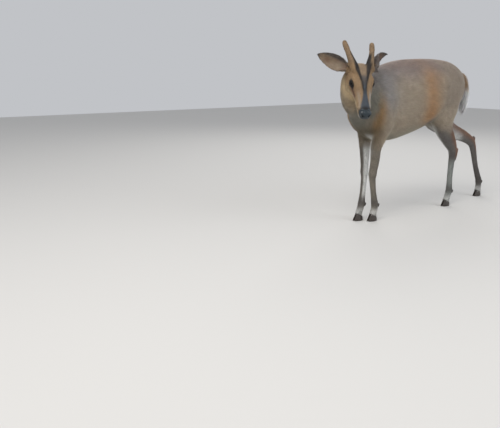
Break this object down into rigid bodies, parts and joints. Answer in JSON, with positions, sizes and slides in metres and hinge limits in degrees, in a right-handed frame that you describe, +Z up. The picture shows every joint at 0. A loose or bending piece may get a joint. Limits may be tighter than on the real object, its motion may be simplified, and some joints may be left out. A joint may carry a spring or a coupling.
{
  "type": "muntjac deer",
  "caption": "Life-size standing muntjac buck, head turned to its left, with cupped ears, antlers in velvet on long furred pedicles, a hanging tail and cloven hooves flat on the floor.",
  "frame": {"origin": "centre of the bounding box's footprint, at the level of the hooves' soles", "axes": "+Z up; the body faces -Y, so +Y runs to the tail; the animal's left side is +X"},
  "size_m": [0.2536, 1, 0.6352],
  "materials": {
    "coat": "short dense fur, matt",
    "face_coat": "very short fur, matt",
    "shank_coat": "short close fur, matt",
    "ear_skin": "thin skin with fine short fur, matt",
    "tail_coat": "longer fur, matt",
    "velvet": "velvet, matt",
    "nose_skin": "bare moist skin, semi-gloss",
    "eye_wet": "wet gloss",
    "hoof_horn": "horn, satin"
  },
  "bodies": {
    "root": {"head": "face_coat", "neck": "coat", "torso": "coat", "tail": "tail_coat", "ear_left": "ear_skin", "ear_right": "ear_skin", "eye_left": "eye_wet", "eye_right": "eye_wet", "antler_left": "velvet", "antler_right": "velvet", "nose_pad": "nose_skin", "foreleg_left_upper": "coat", "foreleg_left_lower": "shank_coat", "foreleg_left_hoof_inner": "hoof_horn", "foreleg_left_dewclaw_inner": "hoof_horn", "foreleg_left_hoof_outer": "hoof_horn", "foreleg_left_dewclaw_outer": "hoof_horn", "foreleg_right_upper": "coat", "foreleg_right_lower": "shank_coat", "foreleg_right_hoof_inner": "hoof_horn", "foreleg_right_dewclaw_inner": "hoof_horn", "foreleg_right_hoof_outer": "hoof_horn", "foreleg_right_dewclaw_outer": "hoof_horn", "hindleg_left_upper": "coat", "hindleg_left_lower": "shank_coat", "hindleg_left_hoof_inner": "hoof_horn", "hindleg_left_dewclaw_inner": "hoof_horn", "hindleg_left_hoof_outer": "hoof_horn", "hindleg_left_dewclaw_outer": "hoof_horn", "hindleg_right_upper": "coat", "hindleg_right_lower": "shank_coat", "hindleg_right_hoof_inner": "hoof_horn", "hindleg_right_dewclaw_inner": "hoof_horn", "hindleg_right_hoof_outer": "hoof_horn", "hindleg_right_dewclaw_outer": "hoof_horn"}
  },
  "joints": []
}
